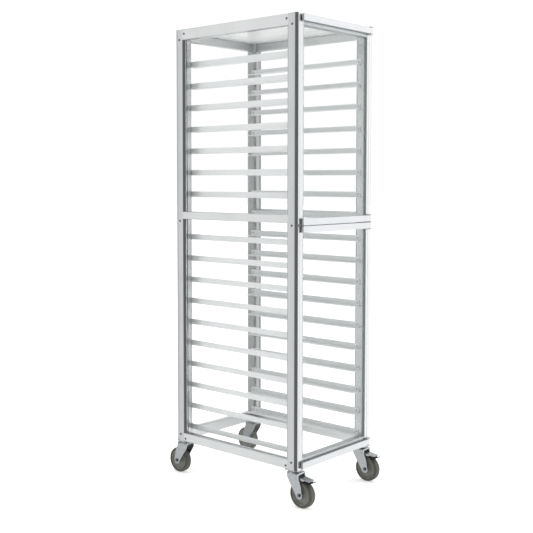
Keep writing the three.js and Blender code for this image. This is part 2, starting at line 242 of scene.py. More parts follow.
@dataclass(frozen=True)
class AcrylicSheet:
    """Cast acrylic sheet: clear or pale and glossy, with a faint tint and soft handling marks.

    Seen at a slant it covers more of what is behind it, as a polished sheet's mirror gloss does.
    Where edge_cover is given, on a sheet that stands across Y, the sawn edges are hazier than the
    faces.
    """

    name: str
    colour: str
    clarity: float
    roughness: float = 0.02
    haze: float = 0.02
    mark_mm: float = 71.43
    mark_cover: float = 0.01
    slant_gloss: float = 0.6
    slant_power: float = 5.0
    edge_cover: float = 0.0
    ior: float = 1.49

    def material(self) -> Material:
        """Builds the material.

        Returns:
            A material that lets light through in the share given by clarity.
        """
        mat, shader, place = new_material(self.name)
        tree = mat.node_tree
        marks = node(
            tree,
            "ShaderNodeTexNoise",
            {},
            {"Vector": place.outputs["Object"], "Scale": 1 / (self.mark_mm * MM), "Detail": 5.0},
        )
        rough = node(
            tree,
            "ShaderNodeMapRange",
            {},
            {
                "Value": marks.outputs[0],
                "From Min": 0.35,
                "From Max": 0.75,
                "To Min": self.roughness,
                "To Max": self.roughness + self.haze,
            },
        )
        cover = node(
            tree,
            "ShaderNodeMapRange",
            {},
            {
                "Value": marks.outputs[0],
                "From Min": 0.3,
                "From Max": 0.8,
                "To Min": 1 - self.clarity,
                "To Max": 1 - self.clarity + self.mark_cover,
            },
        )
        tilt = node(tree, "ShaderNodeLayerWeight", {}, {"Blend": 0.5})
        slant = node(
            tree, "ShaderNodeMath", {"operation": "POWER"}, {0: tilt.outputs["Facing"], 1: self.slant_power}
        )
        covered = node(
            tree,
            "ShaderNodeMath",
            {"operation": "MULTIPLY_ADD", "use_clamp": True},
            {0: slant.outputs[0], 1: self.slant_gloss, 2: cover.outputs[0]},
        )
        if self.edge_cover > 0:
            facing_out = node(tree, "ShaderNodeSeparateXYZ", {}, {"Vector": place.outputs["Normal"]})
            level = node(tree, "ShaderNodeMath", {"operation": "ABSOLUTE"}, {0: facing_out.outputs["Y"]})
            edge = node(tree, "ShaderNodeMath", {"operation": "LESS_THAN"}, {0: level.outputs[0], 1: 0.5})
            covered = node(
                tree,
                "ShaderNodeMath",
                {"operation": "MULTIPLY_ADD", "use_clamp": True},
                {0: edge.outputs[0], 1: self.edge_cover, 2: covered.outputs[0]},
            )
        plug(shader, {"Base Color": linear(self.colour), "IOR": self.ior})
        plug(shader, {"Roughness": rough.outputs[0], "Alpha": covered.outputs[0]})
        return mat


@dataclass(frozen=True)
class PlatedSteel:
    """Bright zinc-plated pressed steel: a cool sheen broken by faint crystalline mottling.

    The real crystals are well under a millimetre across, so the mottling is drawn coarser.
    """

    name: str
    colour: str = "#C4C7C8"
    roughness: float = 0.26
    grain_mm: float = 3.0
    dark_share: Point3 = (0.82, 0.83, 0.85)

    def material(self) -> Material:
        """Builds the material.

        Returns:
            A mottled plated metal.
        """
        mat, shader, place = new_material(self.name)
        tree = mat.node_tree
        mottle = node(
            tree,
            "ShaderNodeTexNoise",
            {},
            {"Vector": place.outputs["Object"], "Scale": 1 / (self.grain_mm * MM), "Detail": 3.0},
        )
        tone = node(tree, "ShaderNodeValToRGB", {}, {"Fac": mottle.outputs[0]})
        set_tones(tone.color_ramp, (0.35, linear(self.colour, self.dark_share)), (0.65, linear(self.colour)))
        rough = node(
            tree,
            "ShaderNodeMapRange",
            {},
            {"Value": mottle.outputs[0], "To Min": self.roughness - 0.05, "To Max": self.roughness + 0.12},
        )
        plug(shader, {"Metallic": 1.0, "Base Color": tone.outputs[0], "Roughness": rough.outputs[0]})
        return mat


@dataclass(frozen=True)
class MouldedPolymer:
    """Moulded rubber or plastic: matt, finely grained, slightly uneven in tone.

    A real mould's grain is about 0.1 mm, too fine to show, so it is drawn coarser.
    """

    name: str
    colour: str
    roughness: float
    ior: float
    grain_mm: float = 0.9
    grain_depth: float = 0.25
    cloud_mm: float = 16.667
    dark_share: Point3 = (0.85, 0.85, 0.85)
    light_share: Point3 = (1.08, 1.08, 1.08)

    def material(self) -> Material:
        """Builds the material.

        Returns:
            A matt polymer with a fine moulded grain.
        """
        mat, shader, place = new_material(self.name)
        tree = mat.node_tree
        grain = node(
            tree,
            "ShaderNodeTexNoise",
            {},
            {"Vector": place.outputs["Object"], "Scale": 1 / (self.grain_mm * MM), "Detail": 2.0},
        )
        cloud = node(
            tree,
            "ShaderNodeTexNoise",
            {},
            {"Vector": place.outputs["Object"], "Scale": 1 / (self.cloud_mm * MM), "Detail": 3.0},
        )
        tone = node(tree, "ShaderNodeValToRGB", {}, {"Fac": cloud.outputs[0]})
        dark, light = linear(self.colour, self.dark_share), linear(self.colour, self.light_share)
        set_tones(tone.color_ramp, (0.3, dark), (0.7, light))
        bump = node(
            tree,
            "ShaderNodeBump",
            {},
            {"Height": grain.outputs[0], "Strength": self.grain_depth, "Distance": 0.1 * MM},
        )
        plug(shader, {"Roughness": self.roughness, "IOR": self.ior})
        plug(shader, {"Base Color": tone.outputs[0], "Normal": bump.outputs[0]})
        return mat


def once(finish: ExtrudedAluminium | AcrylicSheet | PlatedSteel | MouldedPolymer) -> Material:
    """A dataclass field that holds a finish's material, built when the dataclass is made."""
    return field(default_factory=finish.material)


@dataclass(frozen=True)
class Finishes:
    """Every finish on the rack, made once."""

    post: Material = once(ExtrudedAluminium("anodised_post_extrusion", "#D0D2D3", roughness=0.22))
    slide: Material = once(
        ExtrudedAluminium("anodised_slide_extrusion", "#F2F4F4", roughness=0.42, along=Axis.Y, metal=0.4)
    )
    side_rail: Material = once(ExtrudedAluminium("anodised_side_rail", "#E6E8E8", along=Axis.Y))
    cross_rail: Material = once(ExtrudedAluminium("anodised_cross_rail", "#B6B9BB", along=Axis.X))
    rear_rail: Material = once(ExtrudedAluminium("anodised_rear_rail", "#E2E4E4", along=Axis.X))
    door_rail: Material = once(
        ExtrudedAluminium("anodised_door_rail", "#D6D8DA", roughness=0.36, along=Axis.X, metal=0.45)
    )
    clear: Material = once(AcrylicSheet("clear_cast_acrylic", "#EEF4F2", 0.975))
    pane: Material = once(AcrylicSheet("clear_door_acrylic", "#DCE6E2", 0.97, edge_cover=0.3))
    seal: Material = once(MouldedPolymer("grey_sealing_rubber", "#8B8E90", 0.6, 1.52))
    roof: Material = once(AcrylicSheet("pale_cast_acrylic", "#E0E3E2", 0.72))
    zinc: Material = once(PlatedSteel("zinc_plated_pressing"))
    screw: Material = once(PlatedSteel("zinc_plated_screw", "#8E9193", 0.36))
    dark_steel: Material = once(PlatedSteel("oiled_bearing_steel", "#55585A", 0.4))
    wheel: Material = once(MouldedPolymer("moulded_nylon_wheel", "#7C7E78", 0.5, 1.53))
    tyre: Material = once(MouldedPolymer("grey_tread_rubber", "#55574F", 0.62, 1.52))
    catch: Material = once(MouldedPolymer("moulded_grey_nylon", "#77797A", 0.5, 1.53))
    # Black of the brake claw: the pedal's real black tip, and painted shade for the pedal's shadowed
    # underside.
    tip: Material = once(MouldedPolymer("black_nylon_and_painted_shade", "#161718", 0.5, 1.53))


# ---------------------------------------------------------------- mesh helpers


def piece_from(name: str, build: Fill, material: Material, smooth_deg: float) -> Piece:
    """Makes a piece from a function that fills a bmesh, with smooth rounded parts and crisp edges.

    Args:
        name: the piece's name.
        build: fills the bmesh, in metres.
        material: its finish.
        smooth_deg: edges sharper than this stay crisp.

    Returns:
        The new object, at the origin.
    """
    bm = bmesh.new()
    build(bm)
    bmesh.ops.remove_doubles(bm, verts=bm.verts, dist=1e-6)
    bmesh.ops.recalc_face_normals(bm, faces=bm.faces)
    limit = math.radians(smooth_deg)
    for face in bm.faces:
        face.smooth = True
    for edge in bm.edges:
        edge.smooth = len(edge.link_faces) == 2 and edge.calc_face_angle(0) < limit
    mesh = bpy.data.meshes.new(name)
    bm.to_mesh(mesh)
    bm.free()
    mesh.materials.append(material)
    made = bpy.data.objects.new(name, mesh)
    bpy.context.scene.collection.objects.link(made)
    return made


def rounded(a0: float, a1: float, b0: float, b1: float, r: float, steps: int) -> list[Point2]:
    """A rectangle with rounded corners, anticlockwise.

    Args:
        a0: lowest first coordinate.
        a1: highest first coordinate.
        b0: lowest second coordinate.
        b1: highest second coordinate.
        r: corner radius.
        steps: segments in each corner.

    Returns:
        The outline's points.
    """
    points: list[Point2] = []
    centres = ((a1 - r, b0 + r, -90), (a1 - r, b1 - r, 0), (a0 + r, b1 - r, 90), (a0 + r, b0 + r, 180))
    for ca, cb, start in centres:
        for i in range(steps + 1):
            t = math.radians(start + 90 * i / steps)
            points.append((ca + r * math.cos(t), cb + r * math.sin(t)))
    return points


def prism(bm: BMesh, outline: Sequence[Point2], axis: Axis, low: float, high: float) -> None:
    """Adds a closed prism of an outline drawn across an axis, in millimetres.

    Args:
        bm: the mesh to add to.
        outline: points in the other two axes, in X, Y, Z order.
        axis: the axis that it runs along.
        low: where it starts on the axis.
        high: where it ends.
    """

    def at(a: float, b: float, c: float) -> Vector:
        """One point in metres from two outline coordinates and one along the axis."""
        return Vector({Axis.X: (c, a, b), Axis.Y: (a, c, b), Axis.Z: (a, b, c)}[axis]) * MM

    ends = [[bm.verts.new(at(a, b, c)) for a, b in outline] for c in (low, high)]
    bm.faces.new(ends[0])
    bm.faces.new(list(reversed(ends[1])))
    count = len(outline)
    for i in range(count):
        j = (i + 1) % count
        bm.faces.new((ends[0][i], ends[0][j], ends[1][j], ends[1][i]))


def turned(bm: BMesh, profile: Sequence[Point2], centre: Point3, axis: Axis, segments: int) -> None:
    """Adds a turned solid whose profile is a closed loop or starts and ends on the axis.

    Args:
        bm: the mesh to add to.
        profile: (radius, place along the axis) points in millimetres.
        centre: a point on the axis, in millimetres.
        axis: X or Z.
        segments: facets round the axis.
    """
    closed = profile[0] == profile[-1]
    points = list(profile[:-1]) if closed else list(profile)
    rings: list[list[bmesh.types.BMVert]] = []
    for r, a in points:
        ring = []
        for i in range(1 if r < 1e-6 else segments):
            t = 2 * math.pi * i / segments
            c, s = r * math.cos(t), r * math.sin(t)
            offset = (a, c, s) if axis == Axis.X else (c, s, a)
            ring.append(bm.verts.new((Vector(centre) + Vector(offset)) * MM))
        rings.append(ring)
    pairs = list(zip(rings, rings[1:]))
    if closed:
        pairs.append((rings[-1], rings[0]))
    for first, second in pairs:
        for i in range(segments):
            j = (i + 1) % segments
            if len(first) == 1 and len(second) == 1:
                continue
            if len(first) == 1:
                bm.faces.new((first[0], second[i], second[j]))
            elif len(second) == 1:
                bm.faces.new((first[i], first[j], second[0]))
            else:
                bm.faces.new((first[i], first[j], second[j], second[i]))


def dressed(name: str, material: Material) -> Piece:
    """Gives a CAD node's object a better finish in all its slots.

    Args:
        name: the node's name.
        material: the finish.

    Returns:
        The node's object.
    """
    piece = bpy.data.objects[name]
    slots = piece.data.materials
    if not slots:
        slots.append(material)
    for index in range(len(slots)):
        slots[index] = material
    return piece


# ---------------------------------------------------------------- repeated pieces


@dataclass(frozen=True)
class RepeatedPiece:
    """One small shape instanced on a grid along Z and Y, made by a Geometry Nodes tree."""

    rows: int
    row_step: float
    columns: int = 1
    column_step: float = 0.0

    def tree(self, material: Material) -> bpy.types.GeometryNodeTree:
        """Builds the tree.

        Args:
            material: set on the realised result.

        Returns:
            A tree with inputs Geometry, Rows, Row Step, Columns, Column Step and Start.
        """
        tree = bpy.data.node_groups.new("repeat_on_grid", "GeometryNodeTree")
        for name, kind in (
            ("Geometry", "Geometry"),
            ("Rows", "Int"),
            ("Row Step", "Float"),
            ("Columns", "Int"),
            ("Column Step", "Float"),
            ("Start", "Vector"),
        ):
            tree.interface.new_socket(name, in_out="INPUT", socket_type=f"NodeSocket{kind}")
        tree.interface.new_socket("Geometry", in_out="OUTPUT", socket_type="NodeSocketGeometry")
        given = node(tree, "NodeGroupInput")
        up = node(tree, "ShaderNodeCombineXYZ", {}, {"Z": given.outputs["Row Step"]})
        back = node(tree, "ShaderNodeCombineXYZ", {}, {"Y": given.outputs["Column Step"]})
        column = node(
            tree,
            "GeometryNodeMeshLine",
            {"mode": "OFFSET"},
            {
                "Count": given.outputs["Rows"],
                "Start Location": given.outputs["Start"],
                "Offset": up.outputs[0],
            },
        )
        across = node(
            tree,
            "GeometryNodeMeshLine",
            {"mode": "OFFSET"},
            {"Count": given.outputs["Columns"], "Offset": back.outputs[0]},
        )
        grid = node(
            tree,
            "GeometryNodeInstanceOnPoints",
            {},
            {"Points": across.outputs[0], "Instance": column.outputs[0]},
        )
        points = node(tree, "GeometryNodeRealizeInstances", {}, {"Geometry": grid.outputs[0]})
        placed = node(
            tree,
            "GeometryNodeInstanceOnPoints",
            {},
            {"Points": points.outputs[0], "Instance": given.outputs["Geometry"]},
        )
        whole = node(tree, "GeometryNodeRealizeInstances", {}, {"Geometry": placed.outputs[0]})
        finish = node(
            tree, "GeometryNodeSetMaterial", {}, {"Geometry": whole.outputs[0], "Material": material}
        )
        node(tree, "NodeGroupOutput", {}, {"Geometry": finish.outputs[0]})
        return tree

    def made(self, shape: Piece, start: Point3, material: Material) -> Piece:
        """Repeats a shape and turns the result into a plain mesh.

        Args:
            shape: the shape to repeat, which becomes the repeated piece.
            start: the first copy's offset, in millimetres.
            material: the finish.

        Returns:
            The same object, holding every copy.
        """
        modifier = shape.modifiers.new("repeat", "NODES")
        modifier.node_group = self.tree(material)
        values = {
            "Rows": self.rows,
            "Row Step": self.row_step * MM,
            "Columns": self.columns,
            "Column Step": self.column_step * MM,
            "Start": [c * MM for c in start],
        }
        for item in modifier.node_group.interface.items_tree:
            if item.in_out == "INPUT" and item.name in values:
                modifier[item.identifier] = values[item.name]
        graph = bpy.context.evaluated_depsgraph_get()
        mesh = bpy.data.meshes.new_from_object(shape.evaluated_get(graph))
        shape.modifiers.remove(modifier)
        old = shape.data
        shape.data = mesh
        bpy.data.meshes.remove(old)
        return shape


# ---------------------------------------------------------------- the rack's own pieces


@dataclass
class SideLadder:
    """One side wall: a front and a rear post, eighteen pan slides and the rivets that hold them."""

    side: Side
    finishes: Finishes
    post_x: float = 46
    post_y: float = 50
    sheet_x: float = 220
    corner: float = 12
    groove: float = 4
    groove_depth: float = 6
    levels: int = 18
    first: float = 182
    pitch: float = 86
    slide_up: float = 22
    slide_in: float = 37
    slide_t: float = 2
    slide_bend: float = 3
    slide_front: float = 288
    slide_rear: float = 281
    rivet_front: float = 279
    rivet_rear: float = 272

    @property
    def name(self) -> str:
        """The side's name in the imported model."""
        return self.side.name.lower()

    def frame_size(self) -> tuple[float, float, float, float]:
        """The ladder's outer X, outer Y, bottom and top in millimetres, from the CAD node."""
        low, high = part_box(f"{self.name}_ladder")
        outer = max(abs(low[0]), abs(high[0]))
        return outer / MM, high[1] / MM, low[2] / MM, high[2] / MM

    def post_outline(self, sy: int) -> list[Point2]:
        """One post's outline with its glazing groove, in millimetres.

        Args:
            sy: the sign of the post's Y.

        Returns:
            The outline's X and Y points.
        """
        outer, deep, _, _ = self.frame_size()
        x0, y0 = outer - self.post_x, deep - self.post_y
        left, right = self.sheet_x - self.groove / 2, self.sheet_x + self.groove / 2
        end = y0 + self.groove_depth
        # The outline ends where its inner face begins, so the groove follows it.
        points = rounded(x0, outer, y0, deep, self.corner, 12)
        points += [(left, y0), (left, end), (right, end), (right, y0)]
        return [(x * self.side.value, y * sy) for x, y in points]

    def posts(self) -> Piece:
        """Makes the two posts, each a solid prism with its glazing groove.

        Returns:
            Both posts as one piece.
        """
        _, _, bottom, top = self.frame_size()

        def build(bm: BMesh) -> None:
            """Fills the mesh with both posts."""
            for sy in (-1, 1):
                prism(bm, self.post_outline(sy), Axis.Z, bottom, top)

        return piece_from(f"{self.name}_posts", build, self.finishes.post, 25)

    def slides(self) -> Piece:
        """Makes the side's slides: an angle with a rounded inner edge, repeated up the wall.

        Returns:
            Every slide as one piece.
        """
        wall = self.frame_size()[0] - self.post_x
        t, r = self.slide_t, self.slide_bend
        tip = wall - self.slide_in
        bend_out = [
            (wall - r * (1 - math.sin(a)), r * (1 - math.cos(a)))
            for a in (math.radians(90 * i / 5) for i in range(6))
        ]
        inner = r - t
        bend_in = [
            (wall - t - inner * (1 - math.cos(a)), t + inner * (1 - math.sin(a)))
            for a in (math.radians(90 * i / 3) for i in range(4))
        ]
        profile = (
            [(tip + 1, 0.0)] + bend_out + [(wall, self.slide_up), (wall - t, self.slide_up)] + bend_in
            + [(tip + 1, t), (tip + 0.2, t - 0.4), (tip, t / 2), (tip + 0.2, 0.4)]
        )
        sign = self.side.value

        def build(bm: BMesh) -> None:
            """Fills the mesh with one slide at the height of zero."""
            prism(bm, [(x * sign, z) for x, z in profile], Axis.Y, -self.slide_front, self.slide_rear)

        shape = piece_from(f"{self.name}_slides", build, self.finishes.slide, 40)
        run = RepeatedPiece(self.levels, self.pitch)
        return run.made(shape, (0, 0, self.first), self.finishes.slide)

    def rivets(self) -> Piece:
        """Makes the pan-head rivets through the slides' upstands into the posts.

        Returns:
            Every rivet of the side as one piece.
        """
        face = self.frame_size()[0] - self.post_x - self.slide_t
        sign = self.side.value
        head = [
            (0.0, face - 1.6), (2.0, face - 1.5), (3.2, face - 1.0),
            (4.0, face - 0.2), (4.0, face + 0.5), (0.0, face + 0.5),
        ]
        middle = (0, -self.rivet_front, self.slide_up / 2 + 1)

        def build(bm: BMesh) -> None:
            """Fills the mesh with one rivet head."""
            turned(bm, [(r, a * sign) for r, a in head], middle, Axis.X, 16)

        shape = piece_from(f"{self.name}_slide_rivets", build, self.finishes.zinc, 40)
        run = RepeatedPiece(self.levels, self.pitch, 2, self.rivet_front + self.rivet_rear)
        return run.made(shape, (0, 0, self.first), self.finishes.zinc)

    def build(self) -> list[Piece]:
        """Makes the side's pieces and puts them on the frame body in place of the CAD ladder.

        Returns:
            The posts, the slides and the rivets.
        """
        made = [self.posts(), self.slides(), self.rivets()]
        for item, slot in zip(made, ("aluminium", "aluminium", "zinc")):
            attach(item, "frame")
        for item in made[:2]:
            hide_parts(f"{self.name}_ladder")
        return made


@dataclass
class FrameScrews:
    """The small screws that hold the rails and the posts together on each side wall.

    Each place says whether the screw stands on a rail or on a post, and its height.
    """

    finishes: Finishes
    rail_y: float = 263
    post_y: float = 289
    places: tuple[tuple[bool, float], ...] = (
        (True, 1772), (False, 1750), (False, 1032), (False, 166), (True, 151),
    )
    radius: float = 4.6

    def head(self, bm: BMesh, sign: int, y: float, z: float, outer: float) -> None:
        """Adds one button head with a round socket, on the outer face of a side wall.

        Args:
            bm: the mesh to add to.
            sign: the sign of the wall's X.
            y: the screw's Y, in millimetres.
            z: its height.
            outer: the distance of the wall's face from the middle.
        """
        r = self.radius
        profile = [
            (0.0, outer + 0.2), (r * 0.45, outer + 0.2), (r * 0.45, outer + 1.4), (r * 0.7, outer + 1.35),
            (r * 0.92, outer + 0.9), (r, outer + 0.2), (r, outer - 0.5), (0.0, outer - 0.5),
        ]
        turned(bm, [(a, b * sign) for a, b in profile], (0, y, z), Axis.X, 20)

    def build(self) -> list[Piece]:
        """Makes the screws of both side walls.

        Returns:
            One piece on the frame body.
        """
        outer = -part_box("left_ladder")[0][0] / MM

        def fill(bm: BMesh) -> None:
            """Fills the mesh with every screw head."""
            for sign in (-1, 1):
                for on_rail, z in self.places:
                    for sy in (-1, 1):
                        self.head(bm, sign, sy * (self.rail_y if on_rail else self.post_y), z, outer)

        made = piece_from("frame_screws", fill, self.finishes.screw, 40)
        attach(made, "frame")
        return [made]


@dataclass
class DoorSeal:
    """The thin grey strip along the top edge of the lower door leaf, which closes the seam."""

    finishes: Finishes
    rise: float = 2.4
    half_width: float = 2.0
    end_gap: float = 2.0
    hinge_gap: float = 26.0
    chamfer: float = 0.8

    def build(self) -> list[Piece]:
        """Makes the strip on the lower door, just short of the hinge.

        Returns:
            One piece on the lower door's body.
        """
        low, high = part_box("lower_door_top_rail")
        x0, x1 = low[0] / MM + self.end_gap, high[0] / MM - self.hinge_gap
        mid, foot = (low[1] + high[1]) / 2 / MM, high[2] / MM + 0.02
        top = high[2] / MM + self.rise
        w, cut = self.half_width, self.chamfer
        outline = [
            (mid - w, foot), (mid + w, foot), (mid + w, top - cut),
            (mid + w - cut, top), (mid - w + cut, top), (mid - w, top - cut),
        ]

        def fill(bm: BMesh) -> None:
            """Fills the mesh with the strip."""
            prism(bm, outline, Axis.X, x0, x1)

        made = piece_from("door_seam_seal", fill, self.finishes.seal, 40)
        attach(made, "lower_door")
        return [made]


@dataclass
class Castor:
    """One swivel castor: plate, ball race, fork, axle bolt, wheel and tyre, with a brake at the front."""

    corner: Corner
    finishes: Finishes
    trail: float = 36
    wheel_r: float = 50
    tread: float = 15
    rim: float = 40
    axle_r: float = 5
    fork_in: float = 19
    fork_out: float = 22
    fork_top: float = 128.6
    crown: float = 120
    plate: float = 56
    top: float = 139
    hexagon_r: float = 5.8
    washer_r: float = 7.4
    bolt_half: float = 27.6

    @property
    def name(self) -> str:
        """The castor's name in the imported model."""
        return self.corner.name.lower()

    @property
    def centre(self) -> tuple[float, float]:
        """The swivel axis's X and Y in millimetres, from the CAD plate."""
        low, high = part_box(f"{self.name}_castor_plate")
        return (low[0] + high[0]) / 2 / MM, (low[1] + high[1]) / 2 / MM

    @property
    def trails(self) -> int:
        """The sign of Y that the wheel trails towards."""
        return self.corner.value[1]

    def along(self, v: float) -> float:
        """Turns a distance in the trailing direction into a Y, in millimetres."""
        return self.centre[1] + self.trails * v

    def outline_yz(self, points: Sequence[Point2]) -> list[Point2]:
        """Moves an outline drawn in (v, z) to the castor's own (Y, Z)."""
        return [(self.along(v), z) for v, z in points]

    def place_x(self, profile: Sequence[Point2]) -> list[Point2]:
        """Moves a turned profile along X to the castor."""
        return [(r, a + self.centre[0]) for r, a in profile]

    def plate_piece(self) -> Piece:
        """Makes the top plate with rounded corners, its swivel cup and the king pin's riveted head.

        Returns:
            One piece on the frame body.
        """
        cx, cy = self.centre
        half, top, crown, fork = self.plate / 2, self.top, self.crown, self.fork_top
        plate = rounded(cx - half, cx + half, cy - half, cy + half, 6, 6)
        cup = [
            (0, top - 3), (18, top - 3), (21, top - 4.4), (24.5, top - 7),
            (25.8, top - 9.4), (25.2, fork + 0.5), (0, fork + 0.5),
        ]
        head = [
            (0, crown - 0.4), (9.6, crown - 0.6), (10, crown - 2.4),
            (8.6, crown - 4.8), (5.0, crown - 6.2), (0, crown - 6.4),
        ]
        pin = [(0, crown - 1), (5.9, crown - 1), (5.9, fork + 1), (0, fork + 1)]

        def build(bm: BMesh) -> None:
            """Fills the mesh with the plate, the cup and the pin."""
            prism(bm, plate, Axis.Z, top - 3.6, top - 0.1)
            for profile, segments in ((cup, 48), (head, 32), (pin, 32)):
                turned(bm, profile, (cx, cy, 0), Axis.Z, segments)

        made = piece_from(f"{self.name}_castor_top_plate", build, self.finishes.zinc, 35)
        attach(made, "frame")
        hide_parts(f"{self.name}_castor_plate")
        return made

    def race_piece(self) -> Piece:
        """Makes the dark ring of the swivel race, seen between the cup and the fork's crown.

        Returns:
            One piece on the fork's body.
        """
        cx, cy = self.centre
        low, high = self.fork_top + 0.05, self.fork_top + 0.45
        ring = [(19.5, high), (22.4, high), (22.4, low), (19.5, low), (19.5, high)]

        def build(bm: BMesh) -> None:
            """Fills the mesh with the race's ring."""
            turned(bm, ring, (cx, cy, 0), Axis.Z, 48)

        made = piece_from(f"{self.name}_castor_ball_race", build, self.finishes.dark_steel, 35)
        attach(made, f"{self.name}_fork")
        return made

    def fork_piece(self) -> Piece:
        """Makes the pressed fork: two tapered legs with rounded feet, a bridge and a round crown.

        Returns:
            One piece on the fork's body.
        """
        cx, cy = self.centre
        foot_r, top = 14.0, self.fork_top
        foot = []
        for angle in range(-150, 31, 15):
            t = math.radians(angle)
            foot.append((self.trail + foot_r * math.cos(t), self.wheel_r + foot_r * math.sin(t)))
        leg = [(-21, top - 1.5), (-21, 113), (-17, 104)] + foot
        leg += [(44, 84), (35, 106), (31, 116), (31, top - 1.5)]
        bridge = rounded(cx - self.fork_out, cx + self.fork_out, -21, 31, 4, 5)
        crown = [
            (6.1, self.crown), (17, self.crown), (20, self.crown + 1.4), (23.6, self.crown + 4.6),
            (24, top - 1), (23.4, top), (6.1, top), (6.1, self.crown),
        ]

        def build(bm: BMesh) -> None:
            """Fills the mesh with the legs, the bridge and the crown."""
            for sign in (-1, 1):
                low, high = sorted((cx + sign * self.fork_in, cx + sign * self.fork_out))
                prism(bm, self.outline_yz(leg), Axis.X, low, high)
            prism(bm, [(x, self.along(v)) for x, v in bridge], Axis.Z, top - 4, top)
            turned(bm, crown, (cx, cy, 0), Axis.Z, 48)

        made = piece_from(f"{self.name}_castor_pressed_fork", build, self.finishes.zinc, 35)
        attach(made, f"{self.name}_fork")
        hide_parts(f"{self.name}_castor_fork")
        return made

    def axle_piece(self) -> Piece:
        """Makes the axle bolt: a hexagon head with a washer on one side and a nut on the other.

        Returns:
            One piece on the fork's body.
        """
        y, z = self.along(self.trail), self.wheel_r
        cx, _ = self.centre
        shank = [(0, -27.2), (4.9, -27.2), (4.9, 27.2), (0, 27.2)]
        turns = [math.radians(a) for a in range(0, 360, 60)]
        hexagon = [(y + self.hexagon_r * math.cos(t), z + self.hexagon_r * math.sin(t)) for t in turns]
        r, near, far = self.washer_r, self.fork_out + 0.1, self.fork_out + 1.2

        def build(bm: BMesh) -> None:
            """Fills the mesh with the shank, head, nut and washers."""
            turned(bm, self.place_x(shank), (0, y, z), Axis.X, 32)
            for sign in (-1, 1):
                low, high = sorted((cx + sign * (self.fork_out + 1.3), cx + sign * self.bolt_half))
                prism(bm, hexagon, Axis.X, low, high)
                washer = [(0, sign * near), (r, sign * near), (r, sign * far), (0, sign * far)]
                turned(bm, self.place_x(washer), (0, y, z), Axis.X, 32)

        made = piece_from(f"{self.name}_castor_axle_bolt", build, self.finishes.screw, 35)
        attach(made, f"{self.name}_fork")
        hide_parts(f"{self.name}_castor_axle")
        return made

    def wheel_pieces(self) -> list[Piece]:
        """Makes the moulded wheel centre, with its hub, web and raised rim, and the tyre round it.

        Returns:
            Two pieces on the wheel's body.
        """
        y, z = self.along(self.trail), self.wheel_r
        hub, bore, rim, w = 17.0, self.axle_r + 0.06, self.rim - 0.05, self.tread
        centre = [
            (bore, -hub), (9.5, -hub), (10.5, -hub + 0.8), (11.5, -9), (14, -8), (17, -7.6), (30, -7.2),
            (33, -8.4), (35.5, -11.8), (36.6, -12.9), (rim, -12.9), (rim, 12.9), (36.6, 12.9), (35.5, 11.8),
            (33, 8.4), (30, 7.2), (17, 7.6), (14, 8), (11.5, 9), (10.5, hub - 0.8), (9.5, hub), (bore, hub),
            (bore, -hub),
        ]
        r = self.wheel_r
        tyre = [
            (self.rim, -w + 0.6), (self.rim + 1.0, -w), (44.6, -w), (46.8, -w + 0.9), (48.6, -w + 2.6),
            (49.7, -w + 5.2), (r, -w + 8.4), (r, w - 8.4), (49.7, w - 5.2), (48.6, w - 2.6), (46.8, w - 0.9),
            (44.6, w), (self.rim + 1.0, w), (self.rim, w - 0.6), (self.rim, -w + 0.6),
        ]
        made = []
        for name, node_name, profile, finish, slot in (
            ("wheel_centre", "hub", centre, self.finishes.wheel, "wheel_core"),
            ("tyre_ring", "tyre", tyre, self.finishes.tyre, "tyre_rubber"),
        ):

            def build(bm: BMesh, points: list[Point2] = profile) -> None:
                """Fills the mesh with the turned profile."""
                turned(bm, self.place_x(points), (0, y, z), Axis.X, 96)

            item = piece_from(f"{self.name}_castor_{name}", build, finish, 40)
            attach(item, f"{self.name}_wheel")
            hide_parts(f"{self.name}_castor_{node_name}")
            made.append(item)
        return made

    def brake_pieces(self) -> list[Piece]:
        """Makes the pressed brake pedal with its shoe, and the thin black claw under its end: the pedal's
        real black tip, with painted shade for its shadowed underside.

        Returns:
            Two pieces on the brake's body.
        """
        cx, _ = self.centre
        plate = [
            (14, 108.2), (14, 112.8), (17, 114.6), (26, 114.6), (39, 112.4), (52, 110.4), (78, 107.4),
            (78, 105.2), (58, 107.2), (52, 104.6), (50.5, 103.4), (49, 102.6), (44, 102.6), (42, 103.6),
            (40, 105.4), (30, 106), (17, 106.9),
        ]
        # The claw is black for the pedal's real black tip and as painted shade where the pedal's underside
        # is in shadow.
        tip = [
            (66.2, 104.6), (66.2, 99), (67.6, 96), (70, 94.8), (73, 95), (85.6, 101), (86, 102.4),
            (85, 103.6), (72.6, 98), (70.6, 98), (69.6, 99.4), (69.6, 104.6),
        ]

        def fill_pedal(bm: BMesh) -> None:
            """Fills the mesh with the pedal and its pivot pin."""
            prism(bm, self.outline_yz(plate), Axis.X, cx - 17, cx + 17)
            pin = self.place_x([(0, -22.8), (2.4, -22.8), (3, -22.2), (3, 22.2), (2.4, 22.8), (0, 22.8)])
            turned(bm, pin, (0, self.along(20), 110.5), Axis.X, 24)

        def fill_tip(bm: BMesh) -> None:
            """Fills the mesh with the claw."""
            prism(bm, self.outline_yz(tip), Axis.X, cx - 18, cx + 18)

        made = []
        for name, node_name, fill, finish, slot in (
            ("pedal_plate", "brake_pedal", fill_pedal, self.finishes.zinc, "zinc"),
            ("pedal_claw_and_painted_shade", "brake_tip", fill_tip, self.finishes.tip, "black_tip"),
        ):
            item = piece_from(f"{self.name}_{name}", fill, finish, 40)
            bevel = item.modifiers.new("edge_break", "BEVEL")
            bevel.width, bevel.segments = 0.9 * MM, 3
            bevel.limit_method, bevel.angle_limit = "ANGLE", math.radians(50)
            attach(item, f"{self.name}_brake")
            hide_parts(f"{self.name}_{node_name}")
            made.append(item)
        return made

